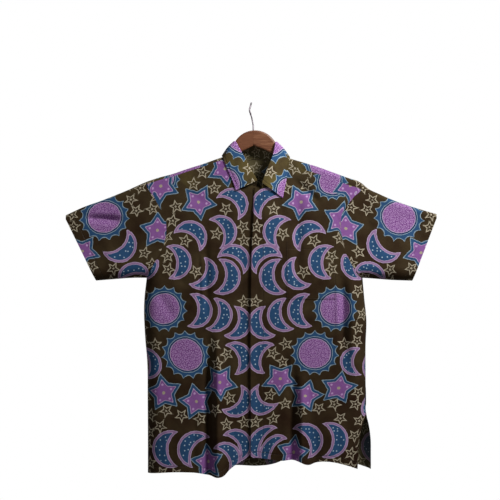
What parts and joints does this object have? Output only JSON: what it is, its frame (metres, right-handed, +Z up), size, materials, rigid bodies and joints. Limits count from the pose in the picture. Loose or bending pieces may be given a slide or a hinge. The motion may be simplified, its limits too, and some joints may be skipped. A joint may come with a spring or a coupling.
{
  "type": "batik shirt on a wooden coat hanger",
  "caption": "Short-sleeved batik shirt with a pointed collar, chest pocket and hidden button front, hanging on a curved wooden coat hanger with a steel hook.",
  "frame": {"origin": "inside of the hook's top, where a rail carries the hanger", "axes": "+X towards the viewer's right, which is the wearer's left; -Y is the way the front faces; +Z up"},
  "size_m": [0.948, 0.0907, 0.9561],
  "materials": {
    "batik_cotton": "matt plain-woven cotton with a batik print of stars, moons and suns",
    "brown_wood": "satin varnish",
    "plated_steel": "plated wire",
    "button_resin": "polished resin"
  },
  "bodies": {
    "root": {"front_left": "batik_cotton", "front_right": "batik_cotton", "back": "batik_cotton", "sleeve_left": "batik_cotton", "sleeve_right": "batik_cotton", "collar_stand": "batik_cotton", "collar_leaf": "batik_cotton", "pocket": "batik_cotton", "button_1": "button_resin", "button_2": "button_resin", "button_3": "button_resin", "button_4": "button_resin", "button_5": "button_resin", "button_6": "button_resin", "hanger_left": "brown_wood", "hanger_right": "brown_wood", "hook": "plated_steel"}
  },
  "joints": []
}
